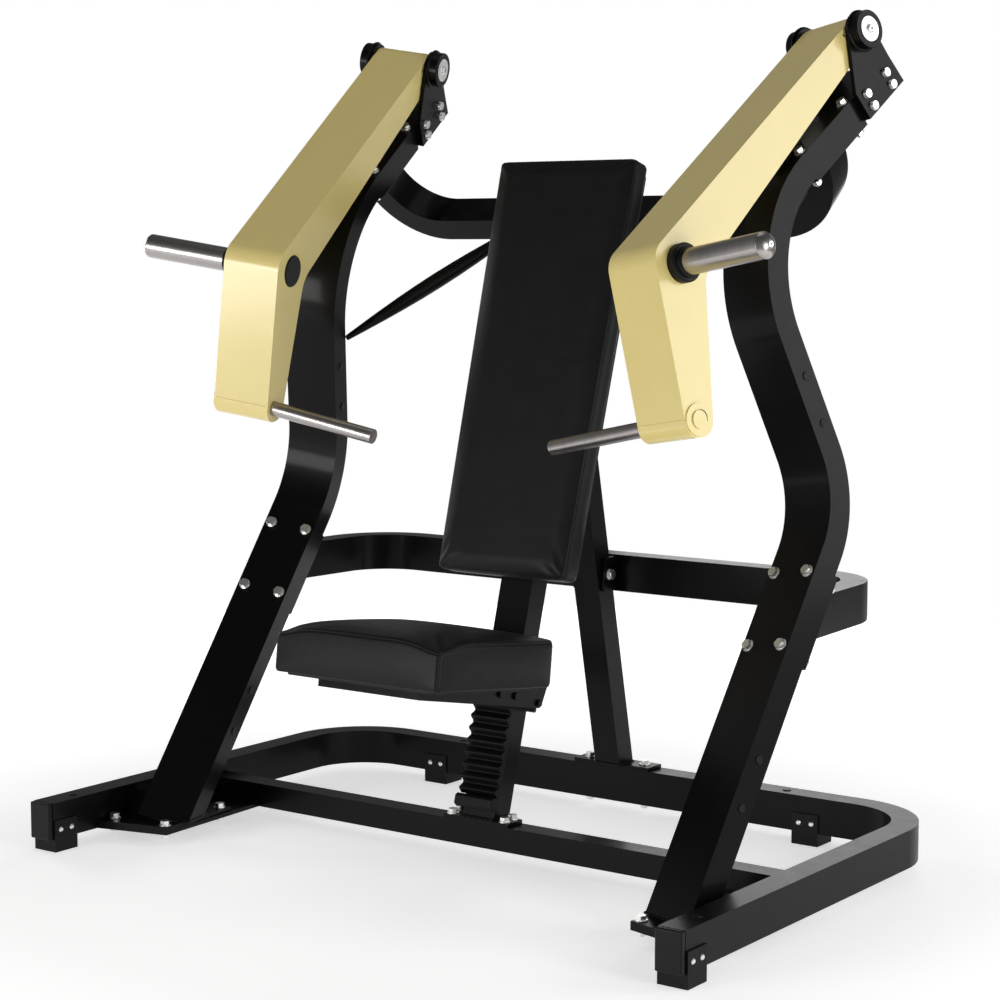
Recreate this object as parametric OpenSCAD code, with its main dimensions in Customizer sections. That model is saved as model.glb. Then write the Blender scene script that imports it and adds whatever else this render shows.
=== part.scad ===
// Plate-loaded chest press machine: a bench and back pad between two free-swinging press arms.
// Each side (upright, arm and pivot) lies in its own plane, turned and tilted inwards,
// so that the two handles draw together as they are pressed forwards.
// +X is the user's left, -Y the way the user faces, +Z up. The origin is on the floor, mid-base.

/* [Base] */
// Width over the two floor legs
base_w = 1590; // [1560:1:1640]
// Depth from the end caps to the back of the rear beam
base_d = 1044; // [1020:1:1080]
// Height of the rectangular frame tube
tube_h = 80; // [70:1:90]
// Height of the base's tube
base_h = 77; // [70:1:90]
// Thickness of the rectangular frame tube
tube_t = 55; // [50:1:60]
// Wall of the frame tubes
wall = 3; // [2:0.5:4]
// Height of the base tubes above the floor
foot_h = 27; // [20:1:30]
// Bend radius of the base, on the centre line
base_bend = 163; // [140:1:190]
// Distance from the base's front to the front cross beam
beam_y = 485; // [470:1:500]

/* [Side planes] */
// Turn of each side plane about the vertical
side_yaw = 14; // [12:0.5:15]
// Inward tilt of each side plane
side_tilt = 9; // [8:0.5:10]
// Distance of the middle of each side from the centre
side_x = 557; // [550:1:565]
// Width of the S-shaped uprights
upright_w = 120; // [110:1:120]

/* [Press arms] */
// Width of the press arms
arm_w = 127; // [124:1:128]
// Rise of the upper arm above the horizontal
arm_rise = 37.4; // [36:0.1:39]
// Length of the upper arm from elbow to pivot
arm_len = 755; // [750:1:760]
// Length of the lower arm from elbow to handle
arm_drop = 317; // [300:1:330]
// Radius of the weight horns
horn_r = 25; // [24:0.5:25]
// Length of the weight horns beyond the arm's middle
horn_len = 276; // [250:1:290]
// Radius of the handles
handle_r = 15.5; // [14:0.5:17]

/* [Bench] */
// Backward lean of the seat post and back pad
spine_lean = 16; // [15:0.5:16]
// Width of the back pad at its top
back_w_top = 346; // [320:1:360]
// Width of the back pad at its bottom
back_w_low = 322; // [300:1:340]
// Length of the back pad
back_len = 885; // [860:1:890]
// Thickness of the back pad
back_t = 60; // [50:1:62]
// Width of the seat pad
seat_w = 400; // [360:1:420]
// Length of the seat pad
seat_len = 372; // [360:1:376]
// Thickness of the seat pad
seat_t = 90; // [60:1:100]
// Backward slope of the seat
seat_slope = 7; // [6:0.5:8]

/* [Hidden] */
$fn = 48;
LEFT = 1;
RIGHT = -1;
big = 3000;

// Paint and metal colours
frame_black = [0.07, 0.07, 0.075];
arm_cream = [0.88, 0.82, 0.58];
zinc = [0.75, 0.75, 0.74];
steel = [0.66, 0.65, 0.63];
rubber_black = [0.1, 0.1, 0.1];
pad_black = [0.13, 0.13, 0.14];

// Base levels
leg_x = base_w / 2 - tube_t / 2;
leg_in = leg_x - tube_t / 2;
base_top = foot_h + base_h;
plate_t = 8;
lower_plate_t = 9;
foot_plate_top = foot_h + lower_plate_t + plate_t;
beam_size = 51;
beam_top = foot_h + beam_size;
rear_y = base_d - tube_t / 2;

// Upright centre line in its side plane: [back, up]
foot_pt = [384, -60];
knee_pt = [899, 672];
waist_pt = [708, 1198];
crown_pt = [1155, 1524];
knee_r = 217;
waist_r = 282;
function lean(a, b) = atan2(b[0] - a[0], b[1] - a[1]);
leg_lean = lean(foot_pt, knee_pt);
top_lean = lean(waist_pt, crown_pt);

// Bolted flanges on the uprights
flange_l = 200;
bolt_dx = 43;
tie_bolt_dz = 80;
bar_bolt_dz = 85;
tie_flange_at = 646;
bar_flange_at = -238;
bolt_r = 6;
hole_r = 6.5;
head_h = 8;
hex_r = 10.4;
washer_r = 12.5;
washer_t = 2.5;
nut_h = 10;

// Pivot and arm outline in the side plane
elbow = [440, 1162];
lower_lean = 6.5;
end_r = 30;
boss_r = 33;
skin = 4;
pivot = elbow + arm_len * [cos(arm_rise), sin(arm_rise)]
      + end_r * [sin(arm_rise), -cos(arm_rise)];
boss = elbow + arm_drop * [sin(lower_lean), -cos(lower_lean)]
     + boss_r * [cos(lower_lean), sin(lower_lean)];
horn_pt = [507, 1138];
arm_taper = 4;
spigot_r = 24;
collar_end = arm_w / 2 + 26;
handle_tip = [-311, -30, -15];
cheek_in = 65;
cheek_t = 9;
cheek_out = cheek_in + cheek_t;
housing_end = 96;
housing_r = 38;
cheek_len = 138;
cheek_back = 26;
bearing_r = 26;
shaft_r = 12.5;
fit_gap = 0.05;

// Bench frame: origin where the post's front face meets the cross beam
spine_y = 491;
post_w = 80;
post_top = 1236;
rack_w = 92;
tooth = 25;
rack_low = 54;
rack_teeth = 13;
board_t = 12;
back_low = 507;
seat_y = 98;
seat_z = 434;
bracket_w = 250;
carriage_z = 240;
carriage_h = 66;
pawl_at = [-50, 303];

// Rear strut and the tie behind it
strut_y = 1003;
strut_lean = 12;
strut_w = 64;
strut_t = 54;
tie_z = 546;
tie_x = 646;
tie_y = 640;
tie_flare = 22;
tie_r = 135;
tie_run_y = 975;
ear_t = 8;
ear_y = 919;

// Top crossbar
bar_drop = 50.4;
bar_y = 978;
bar_z = 1315;
bar_x = 580;
bar_flare = 23;
bar_reach = 300;
bar_r = 147;

// Distance behind the base's front of a point of a side plane
function back_of(x, p) =
  p[0] * cos(side_yaw) - (x * cos(side_tilt) - p[1] * sin(side_tilt)) * sin(side_yaw);

// Full depth, from the base's front to the back of the pivot cheeks
overall_d = back_of(side_x - cheek_out, from_crown(cheek_back, 1));

// ---- Plain helpers ----

module stand() { translate([0, -overall_d / 2, 0]) children(); }

// Children are drawn at +X and again, mirrored, at -X
module both() { children(); mirror([1, 0, 0]) children(); }

// Side-plane frame of one side: X outwards across the side, Y back, Z up along the plane
module side(s) {
  stand() mirror([s < 0 ? 1 : 0, 0, 0]) rotate([0, 0, -side_yaw]) rotate([0, -side_tilt, 0])
    translate([side_x, 0, 0]) children();
}
module sides() { side(LEFT) children(); side(RIGHT) children(); }

// Frame of the top stretch of an upright: Y out of its back face, Z along it, origin at its end
module crown() { translate([0, crown_pt[0], crown_pt[1]]) rotate([-top_lean, 0, 0]) children(); }

// Frame of the lower stretch of an upright, at the middle of its tie flange
module shin() {
  translate([0, foot_pt[0], foot_pt[1]]) rotate([-leg_lean, 0, 0])
    translate([0, 0, tie_flange_at]) children();
}

// Frame of the bench post: Y back through the post, Z up along it
module spine() { stand() translate([0, spine_y, beam_top]) rotate([-spine_lean, 0, 0]) children(); }

// Frame of the seat: Y back along the pad, Z square to it
module seat() { stand() translate([0, seat_y, seat_z]) rotate([-seat_slope, 0, 0]) children(); }

// Outline given as [back, up] points, drawn across the side plane's X over a width
module across(width) { translate([-width / 2, 0, 0]) rotate([90, 0, 90]) linear_extrude(width) children(); }

// Box from one corner to the opposite one
module block(low, high) { translate(low) cube(high - low); }

// Cylinder along X between two stations
module rod_x(r, x0, x1) { translate([x0, 0, 0]) rotate([0, 90, 0]) cylinder(r = r, h = x1 - x0); }

// Ring along X between two stations
module ring_x(r, hole, x0, x1) {
  difference() {
    rod_x(r, x0, x1);
    rod_x(hole, x0 - 1, x1 + 1);
  }
}

// Bar of rectangular section, bent in its own XY plane along a route of points
module bar_run(route, radii, thick, width) {
  translate([0, 0, -width / 2]) linear_extrude(width) polygon(strip(route, radii, thick));
}

// Hollow tube along a route, open at both ends
module tube_run(route, radii, thick, width) {
  difference() {
    bar_run(route, radii, thick, width);
    bar_run(longer(route, 1), radii, thick - 2 * wall, width - 2 * wall);
  }
}

// Straight hollow tube along Z
module tube_z(size_x, size_y, z0, z1) {
  difference() {
    block([-size_x / 2, -size_y / 2, z0], [size_x / 2, size_y / 2, z1]);
    block([-size_x / 2 + wall, -size_y / 2 + wall, z0 - 1], [size_x / 2 - wall, size_y / 2 - wall, z1 + 1]);
  }
}

// ---- Outline helpers ----

function unit(v) = v / norm(v);
function turn_left(v) = [-v[1], v[0]];
function at(list, i) = list[(i + len(list)) % len(list)];

// Round one corner with a true radius
function corner(a, p, b, r, n = 8) =
  let (u = unit(a - p), w = unit(b - p), half = acos(u * w) / 2,
       c = p + unit(u + w) * r / sin(half),
       s0 = p + u * r / tan(half) - c, s1 = p + w * r / tan(half) - c,
       a0 = atan2(s0[1], s0[0]), swing = (atan2(s1[1], s1[0]) - a0 + 540) % 360 - 180)
  [for (i = [0 : n]) c + r * [cos(a0 + swing * i / n), sin(a0 + swing * i / n)]];
function rounded(pts, radii) =
  [for (i = [0 : len(pts) - 1]) each radii[i] == 0 ? [pts[i]]
    : corner(at(pts, i - 1), pts[i], at(pts, i + 1), radii[i])];

// Outline of a strip of even thickness along a route, with its corners bent to centre-line radii
function turn_at(pts, i) =
  let (u = pts[i] - pts[i - 1], w = pts[i + 1] - pts[i])
  sign(u[0] * w[1] - u[1] * w[0]);
function beside(pts, d) =
  let (last = len(pts) - 1)
  [for (i = [0 : last])
    let (n0 = turn_left(unit(i == 0 ? pts[1] - pts[0] : pts[i] - pts[i - 1])),
         n1 = turn_left(unit(i == last ? pts[i] - pts[i - 1] : pts[i + 1] - pts[i])))
    pts[i] + unit(n0 + n1) * d / (unit(n0 + n1) * n0)];
function bent(pts, radii, d, n = 30) =
  let (q = beside(pts, d))
  [q[0],
   for (i = [1 : len(q) - 2]) each corner(q[i - 1], q[i], q[i + 1], radii[i] - d * turn_at(pts, i), n),
   q[len(q) - 1]];
function reversed(list) = [for (i = [len(list) - 1 : -1 : 0]) list[i]];
function strip(pts, radii, t) = concat(bent(pts, radii, -t / 2), reversed(bent(pts, radii, t / 2)));
function longer(pts, e) =
  let (last = len(pts) - 1)
  [pts[0] + e * unit(pts[0] - pts[1]),
   for (i = [1 : last - 1]) pts[i],
   pts[last] + e * unit(pts[last] - pts[last - 1])];

// Move each edge of an outline inwards by its own distance (edge i runs from point i to i+1)
function shifted(pts, d) =
  [for (i = [0 : len(pts) - 1])
    let (n0 = turn_left(unit(pts[i] - at(pts, i - 1))), n1 = turn_left(unit(at(pts, i + 1) - pts[i])),
         d0 = at(d, i - 1), d1 = d[i], k = n0[0] * n1[1] - n0[1] * n1[0])
    pts[i] + [d0 * n1[1] - d1 * n0[1], d1 * n0[0] - d0 * n1[0]] / k];

// Where the line from p at angle a crosses the line from q at angle b
function crossing(p, a, q, b) =
  let (u = [cos(a), sin(a)], w = [cos(b), sin(b)], k = u[0] * w[1] - u[1] * w[0],
       t = ((q - p)[0] * w[1] - (q - p)[1] * w[0]) / k) p + t * u;

// Arm outline, anticlockwise: elbow, lower front, lower back, inner elbow, pivot back, pivot front
down = [sin(lower_lean), -cos(lower_lean)];
back = [cos(lower_lean), sin(lower_lean)];
up_arm = [cos(arm_rise), sin(arm_rise)];
off_arm = [sin(arm_rise), -cos(arm_rise)];
low_front = boss + boss_r * (down - back);
low_back = boss + boss_r * (down + back);
end_back = pivot + end_r * (up_arm + off_arm);
end_front = pivot + end_r * (up_arm - off_arm);
inner_elbow = crossing(low_back, 86, end_back, arm_rise + arm_taper);
arm_pts = [elbow, low_front, low_back, inner_elbow, end_back, end_front];
arm_radii = [45, 30, 30, 60, 28, 28];

// ---- Fastener helpers (each drawn along +Z, clamped surface at z = 0) ----

module hex_bolt(length) {
  translate([0, 0, washer_t]) cylinder(r = hex_r, h = head_h, $fn = 6);
  translate([0, 0, -length]) cylinder(r = bolt_r, h = length + washer_t);
}
module washer() {
  difference() {
    cylinder(r = washer_r, h = washer_t);
    translate([0, 0, -1]) cylinder(r = hole_r, h = washer_t + 2);
  }
}
module nut(depth) {
  translate([0, 0, -depth - nut_h]) difference() {
    cylinder(r = hex_r, h = nut_h, $fn = 6);
    translate([0, 0, -1]) cylinder(r = bolt_r + fit_gap, h = nut_h + 2);
  }
}
module hole(depth) { translate([0, 0, -depth - 1]) cylinder(r = hole_r, h = depth + 2); }

// Grids of bolt places; children are drawn along +Z out of the clamped face
foot_bolts = [[726, 176], [592, 190], [608, 374], [726, 374]];
foot_grip = foot_plate_top - foot_h;
tie_grip = tube_t + plate_t;
strut_grip = base_h + plate_t;
ear_grip = strut_w + 2 * ear_t;
module foot_bolt_places() {
  stand() both() for (p = foot_bolts) translate([p[0], p[1], foot_plate_top]) children();
}
module flange_places(dz) {
  for (x = [-bolt_dx, bolt_dx], z = [-dz, dz])
    translate([x, -tube_t / 2, z]) rotate([90, 0, 0]) children();
}
module tie_bolt_places(s) { side(s) shin() flange_places(tie_bolt_dz) children(); }
module crossbar_bolt_places(s) {
  side(s) crown() translate([0, 0, bar_flange_at]) flange_places(bar_bolt_dz) children();
}
module strut_bolt_places() {
  stand() both() translate([72, rear_y, base_top + plate_t]) children();
}
module spine_bolt_places() {
  stand() both() for (y = [beam_y + 12, beam_y + beam_size - 12])
    translate([66, y, beam_top + plate_t]) children();
}
spine_grip = beam_size + plate_t;
module each_bolt() {
  foot_bolt_places() children(0);
  for (s = [LEFT, RIGHT]) {
    tie_bolt_places(s) children(1);
    crossbar_bolt_places(s) children(1);
  }
  strut_bolt_places() children(2);
  spine_bolt_places() children(3);
  ear_bolt_place() children(4);
}

// ---- Base ----

module at_base() { stand() translate([0, 0, foot_h + base_h / 2]) children(); }

cap_t = 12;
boot_len = 62;
boot_side = 40;
boot_wall = 3.5;
rivet_r = 3;
// Places of the four feet: middle of each foot under its tube, tube running along Y
module foot_places() {
  stand() both() {
    translate([leg_x, 46, 0]) children();
    translate([490, rear_y, 0]) rotate([0, 0, 90]) children();
  }
}
module rivet_places() {
  foot_places() for (s = [-1, 1], y = [-15, 15])
    translate([s * (tube_t / 2 + boot_wall), y, foot_h + boot_side / 2]) rotate([0, s * 90, 0]) children();
}

module base_frame() {
  color(frame_black) difference() {
    at_base() tube_run([[-leg_x, cap_t], [-leg_x, rear_y], [leg_x, rear_y], [leg_x, cap_t]],
                       [0, base_bend, base_bend, 0], tube_t, base_h);
    rivet_places() translate([0, 0, -20]) cylinder(r = rivet_r + 0.2, h = 30);
    base_plug_places() translate([0, 0, -10]) cylinder(r = plug_stem, h = 20);
    strut_bolt_places() hole(strut_grip + 10);
  }
}

module front_crossbeam() {
  color(frame_black) difference() {
    stand() block([-leg_in, beam_y, foot_h], [leg_in, beam_y + beam_size, beam_top]);
    stand() block([-leg_in - 1, beam_y + wall, foot_h + wall],
                  [leg_in + 1, beam_y + beam_size - wall, beam_top - wall]);
    spine_bolt_places() hole(spine_grip + 10);
  }
}

module base_end_caps() {
  plug_gap = wall + 0.5;
  color(rubber_black) stand() both() {
    block([leg_in, 0, foot_h], [leg_in + tube_t, cap_t, base_top]);
    block([leg_in + plug_gap, cap_t, foot_h + plug_gap],
          [leg_in + tube_t - plug_gap, cap_t + 10, base_top - plug_gap]);
  }
}

module rubber_feet() {
  half = tube_t / 2;
  color(rubber_black) difference() {
    foot_places() difference() {
      block([-half - boot_wall, -boot_len / 2, 0], [half + boot_wall, boot_len / 2, foot_h + boot_side]);
      block([-half, -boot_len, foot_h], [half, boot_len, big]);
    }
    rivet_places() translate([0, 0, -20]) cylinder(r = rivet_r + 0.2, h = 30);
  }
}

module foot_rivets() {
  color(zinc) rivet_places() {
    translate([0, 0, -boot_wall - 2]) cylinder(r = rivet_r, h = boot_wall + 2);
    cylinder(r1 = 6, r2 = 3.5, h = 3);
  }
}

// Round plugs that close the tube's working holes
plug_r = 9;
plug_stem = 6;
module base_plug_places() {
  stand() both() {
    translate([leg_x, 95, base_top]) children();
    translate([430, rear_y, base_top]) children();
  }
}
module upright_plug_places(s) {
  side(s) for (p = [[579, 217], [522, 136], [811, 921], [846, 829]], e = [-1, 1])
    translate([e * upright_w / 2, p[0], p[1]]) rotate([0, e * 90, 0]) children();
}
module tube_plugs() {
  color(rubber_black) {
    for (k = [0, 1]) {
      base_plug_places() plug_part(k);
      upright_plug_places(LEFT) plug_part(k);
      upright_plug_places(RIGHT) plug_part(k);
    }
  }
}
module plug_part(k) {
  if (k == 0) cylinder(r1 = plug_r, r2 = plug_r - 1, h = 2);
  if (k == 1) translate([0, 0, -wall - 2]) cylinder(r = plug_stem - fit_gap, h = wall + 2);
}

plate_front = [[leg_in, 138], [577, 178]];
module foot_plate_outline(depth) { polygon([plate_front[0], plate_front[1], [594, depth], [leg_in, depth]]); }
module base_plates() {
  color(frame_black) difference() {
    stand() both() translate([0, 0, foot_h]) linear_extrude(lower_plate_t) foot_plate_outline(beam_y);
    foot_bolt_places() hole(foot_grip + 10);
  }
}
module upright_foot_plates() {
  color(frame_black) difference() {
    stand() both() translate([0, 0, foot_h + lower_plate_t]) linear_extrude(plate_t) foot_plate_outline(394);
    foot_bolt_places() hole(foot_grip + 10);
  }
}

// ---- Uprights, ties and crossbar ----

module upright(s) {
  color(frame_black) difference() {
    side(s) rotate([90, 0, 90])
      tube_run([foot_pt, knee_pt, waist_pt, crown_pt], [0, knee_r, waist_r, 0], tube_t, upright_w);
    stand() block([-big, -big, -big], [big, big, foot_plate_top]);
    tie_bolt_places(s) hole(tie_grip);
    crossbar_bolt_places(s) hole(tie_grip);
    bracket_bolt_places(s) hole(2 * cheek_out);
    upright_plug_places(s) translate([0, 0, -wall - 4]) cylinder(r = plug_stem, h = wall + 8);
  }
}
module upright_left() { upright(LEFT); }
module upright_right() { upright(RIGHT); }

// Flange plate on the back face of an upright stretch, a hair clear of it
module flange() {
  block([-upright_w / 2, tube_t / 2 + 0.02, -flange_l / 2],
        [upright_w / 2, tube_t / 2 + plate_t, flange_l / 2]);
}
// Everything in front of a flange's back face
module before_flange() { block([-200, -400, -500], [200, tube_t / 2 + plate_t, 500]); }

module rear_tie() {
  end_x = tie_x + tie_flare;
  route = [[end_x, tie_y], [tie_x, tie_run_y], [-tie_x, tie_run_y], [-end_x, tie_y]];
  color(frame_black) difference() {
    stand() translate([0, 0, tie_z]) tube_run(route, [0, tie_r, tie_r, 0], tube_t, tube_h);
    sides() shin() before_flange();
  }
}

// Flanges on the uprights, and two ears that hold the tie to the strut
module tie_plates() {
  ear_back = tie_run_y - tube_t / 2;
  ear = [[ear_y - 22, tie_z - 37], [ear_back, tie_z - 37], [ear_back, tie_z + 37], [ear_y - 22, tie_z + 37]];
  color(frame_black) {
    difference() {
      sides() {
        shin() flange();
        crown() translate([0, 0, bar_flange_at]) flange();
      }
      for (s = [LEFT, RIGHT]) {
        tie_bolt_places(s) hole(tie_grip + 5);
        crossbar_bolt_places(s) hole(tie_grip + 5);
      }
    }
    difference() {
      stand() both() translate([strut_w / 2, 0, 0]) rotate([90, 0, 90]) linear_extrude(ear_t)
        polygon(rounded(ear, [10, 0, 0, 10]));
      ear_bolt_place() hole(ear_grip + 20);
    }
  }
}

// Its plane slopes down and back from the uprights
bar_route = [[bar_flare - bar_x, -bar_reach], [-bar_x, 0], [bar_x, 0], [bar_x - bar_flare, -bar_reach]];
bar_radii = [0, bar_r, bar_r, 0];
module crossbar_frame() { stand() translate([0, bar_y, bar_z]) rotate([-bar_drop, 0, 0]) children(); }
module top_crossbar() {
  color(frame_black) difference() {
    crossbar_frame() tube_run(bar_route, bar_radii, tube_t, tube_h);
    sides() crown() before_flange();
  }
}

// ---- Rear strut ----

module strut_frame() {
  stand() translate([0, strut_y, base_top + plate_t]) rotate([strut_lean, 0, 0]) children();
}
// Height up the post of the plate that takes the strut's head
head_plate_z = 905;
module rear_strut() {
  color(frame_black) difference() {
    strut_frame() tube_z(strut_w, strut_t, -60, 1100);
    stand() block([-big, -big, -big], [big, big, base_top + plate_t]);
    spine() block([-big, -big, -big], [big, tube_t + plate_t, big]);
    ear_bolt_place() hole(ear_grip + 20);
  }
}
module strut_plates() {
  color(frame_black) {
    difference() {
      stand() block([-98, rear_y - tube_t / 2, base_top],
                    [98, rear_y + tube_t / 2, base_top + plate_t]);
      strut_bolt_places() hole(strut_grip + 5);
    }
    spine() block([-post_w / 2, tube_t, head_plate_z - 80],
                  [post_w / 2, tube_t + plate_t, head_plate_z + 90]);
  }
}
// Bolt through both ears and the strut
module ear_bolt_place() {
  stand() translate([strut_w / 2 + ear_t, ear_y, tie_z]) rotate([0, 90, 0]) children();
}

// ---- Fasteners of the frame ----

module frame_bolts() {
  color(zinc) each_bolt() {
    hex_bolt(foot_grip + nut_h + 2);
    hex_bolt(tie_grip + nut_h + 4);
    hex_bolt(strut_grip + nut_h + 3);
    hex_bolt(spine_grip - wall);
    hex_bolt(ear_grip + nut_h + 3);
  }
}
module frame_washers() {
  color(zinc) each_bolt() {
    washer();
    washer();
    washer();
    washer();
    washer();
  }
}
module frame_nuts() {
  color(zinc) {
    foot_bolt_places() nut(foot_grip);
    for (s = [LEFT, RIGHT]) {
      tie_bolt_places(s) nut(tie_grip);
      crossbar_bolt_places(s) nut(tie_grip);
    }
    strut_bolt_places() nut(strut_grip);
    ear_bolt_place() nut(ear_grip);
  }
}

// ---- Bench post, rack and back pad ----

module spine_post() {
  color(frame_black) difference() {
    spine() translate([0, tube_t / 2, 0]) tube_z(post_w, tube_t, -80, post_top);
    stand() block([-big, -big, -big], [big, big, beam_top + plate_t]);
  }
}

module spine_plates() {
  color(frame_black) {
    difference() {
      stand() block([-82, beam_y, beam_top], [82, beam_y + beam_size, beam_top + plate_t]);
      spine_bolt_places() hole(spine_grip + 5);
    }
    difference() {
      spine() for (x = [-post_w / 2 - 6, post_w / 2])
        translate([x, 0, 0]) rotate([90, 0, 90]) linear_extrude(6)
          polygon([[4, post_top - 90], [tube_t - 4, post_top - 90], [tube_t + 71, post_top + 20],
                   [tube_t + 71, post_top + 60], [4, post_top + 60]]);
      crossbar_frame() bar_run(bar_route, bar_radii, tube_t, tube_h);
    }
  }
}

// Wavy rack over a square toe
module seat_rack() {
  waves = [for (i = [0 : 10 * rack_teeth]) [-14 - 6 * cos(36 * i - 150), rack_low + i * tooth / 10]];
  color(frame_black) spine() {
    translate([-rack_w / 2, 0, 0]) rotate([90, 0, 90]) linear_extrude(rack_w)
      polygon(concat([[0, rack_low + rack_teeth * tooth], [0, rack_low]], waves));
    translate([-rack_w / 2 - 1, 0, 0]) rotate([90, 0, 90]) linear_extrude(rack_w + 2)
      polygon([[-0.2, 26], [-19, 26], [-27, 31], [-27, 48], [-21, rack_low - 1], [-0.2, rack_low - 1]]);
  }
}

module pad_outline(low_w, top_w, length, r) {
  polygon(rounded([[-low_w / 2, 0], [low_w / 2, 0], [top_w / 2, length], [-top_w / 2, length]],
                  [r, r, r, r]));
}
module backrest_board() {
  color([0.2, 0.17, 0.13]) spine() translate([0, 0, back_low + 12]) rotate([90, 0, 0])
    linear_extrude(board_t) pad_outline(back_w_low - 24, back_w_top - 24, back_len - 24, 14);
}
module backrest_pad() {
  color(pad_black) spine() translate([0, -board_t, back_low]) rotate([90, 0, 0])
    linear_extrude(back_t) pad_outline(back_w_low, back_w_top, back_len, 14);
}

// Slim stay from the right upright to the back of the board, thickest at its middle
stay_from = [527, 717, 1051];
stay_to = [140, 872, 1305];
module stay_rod() {
  run_v = stay_to - stay_from;
  span = norm(run_v);
  color(frame_black) stand() mirror([1, 0, 0]) translate(stay_from)
    rotate([0, acos(run_v[2] / span), atan2(run_v[1], run_v[0])])
      rotate_extrude() polygon(concat([[0, span], [0, 0]],
        [for (i = [0 : 10]) let (t = i / 10) [6 + 11 * sin(180 * t), t * span]]));
}

// ---- Pivots ----

module bracket_bolt_places(s) {
  side(s) crown() for (e = [-1, 1], y = [-17, 11], z = [-112, -35])
    translate([e * cheek_out, y, z]) rotate([0, e * 90, 0]) children();
}
// Point of a side plane, given in the frame of its crown
function from_crown(y, z) =
  crown_pt + y * [cos(top_lean), -sin(top_lean)] + z * [sin(top_lean), cos(top_lean)];
// Cheek plate outline in the side plane, from the upright's end forward to the pivot
module cheek_outline() {
  translate(pivot) circle(r = housing_r);
  polygon([from_crown(cheek_back, -cheek_len), from_crown(cheek_back, 1), from_crown(-39, -2),
           pivot + housing_r * [cos(15), sin(15)], pivot, pivot - [housing_r, 0],
           pivot - [housing_r - 3, 128], from_crown(-tube_t / 2 - 5, -cheek_len)]);
}
module pivot_brackets() {
  color(frame_black) difference() {
    sides() for (e = [-1, 1]) translate([e * (cheek_in + cheek_t / 2), 0, 0]) difference() {
      across(cheek_t) cheek_outline();
      translate([0, pivot[0], pivot[1]]) rod_x(20, -cheek_t, cheek_t);
    }
    for (s = [LEFT, RIGHT]) bracket_bolt_places(s) hole(cheek_t + 4);
  }
}
module bracket_spacers() {
  gap = cheek_in - upright_w / 2;
  color(frame_black) difference() {
    sides() crown() for (e = [-1, 1]) translate([e * (cheek_in - gap / 2), 0, 0])
      block([-gap / 2, -tube_t / 2, -cheek_len], [gap / 2, cheek_back, 0]);
    for (s = [LEFT, RIGHT]) bracket_bolt_places(s) hole(cheek_t + gap + 4);
  }
}
module bracket_bolts() {
  color(zinc) for (s = [LEFT, RIGHT]) bracket_bolt_places(s) {
    translate([0, 0, -cheek_out + 20]) cylinder(r = bolt_r, h = cheek_out - 20);
    cylinder(r1 = 11, r2 = 9, h = 7);
  }
}
module bearing_housings() {
  floor_t = 4;
  color(frame_black) sides() at_pivot() both() difference() {
    rod_x(housing_r, cheek_out, housing_end);
    rod_x(bearing_r + 0.02, cheek_out + floor_t, housing_end + 1);
    rod_x(20, cheek_out - 1, housing_end);
  }
}
module pivot_bearings() {
  color(steel) sides() at_pivot() both()
    ring_x(bearing_r, shaft_r + fit_gap, cheek_out + 4, cheek_out + 19);
}
// Rubber blocks on the uprights that the arms rest against
bumper_u = -320;
module stop_bumpers() {
  color(rubber_black) difference() {
    sides() crown() block([-28, -tube_t / 2 - 60, bumper_u - 32], [28, -tube_t / 2, bumper_u + 32]);
    sides() across(arm_w + 40) polygon(shifted(arm_pts, [-0.4, -0.4, -0.4, -0.4, -0.4, -0.4]));
  }
}

// ---- Press arms ----

module at_pivot() { translate([0, pivot[0], pivot[1]]) children(); }
module at_horn() { translate([0, horn_pt[0], horn_pt[1]]) children(); }
handle_len = norm(handle_tip);
// Handle axis: Z runs inwards from the arm's middle towards the handle's free end
module at_handle() {
  translate([0, boss[0], boss[1]])
    rotate([0, -acos(handle_tip[2] / handle_len), atan2(-handle_tip[1], -handle_tip[0])]) children();
}

module arm_shell(s) {
  inside = shifted(arm_pts, [skin, skin, -30, -30, skin, skin]);
  color(arm_cream) side(s) difference() {
    union() {
      across(arm_w) polygon(rounded(arm_pts, arm_radii));
      translate([0, boss[0], boss[1]]) rod_x(boss_r - 2, 0, arm_w / 2 + 3);
    }
    across(arm_w - 2 * skin) polygon(rounded(inside, [41, 26, 0, 0, 0, 24]));
    at_pivot() rod_x(shaft_r + fit_gap, -arm_w, arm_w);
    at_horn() rod_x(spigot_r + fit_gap, 0, arm_w);
    at_handle() cylinder(r = handle_r + fit_gap, h = 3 * arm_w, center = true);
    translate([0, pivot[0] - 40, pivot[1] - 8]) rod_x(4, -arm_w, arm_w);
  }
}
module arm_back_plate(s) {
  color(arm_cream) side(s) across(arm_w - 2 * skin) difference() {
    polygon(rounded(shifted(arm_pts, [skin, skin, 0, 0, skin, skin]), [41, 20, 30, 60, 26, 24]));
    polygon(rounded(shifted(arm_pts, [-20, -20, skin, skin, -20, -20]), [0, 0, 0, 64, 0, 0]));
  }
}
module pivot_sleeve(s) {
  color(arm_cream) side(s) at_pivot() ring_x(25, shaft_r + fit_gap, -arm_w / 2 + skin, arm_w / 2 - skin);
}
module pivot_shaft(s) {
  color(steel) side(s) at_pivot() rod_x(shaft_r, -cheek_out - 20, cheek_out + 20);
}
module shaft_caps(s) {
  color([0.85, 0.86, 0.86]) side(s) at_pivot() both() {
    rod_x(25.4, cheek_out + 20, cheek_out + 23);
    rod_x(10, cheek_out + 23, cheek_out + 24);
  }
}
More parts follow.
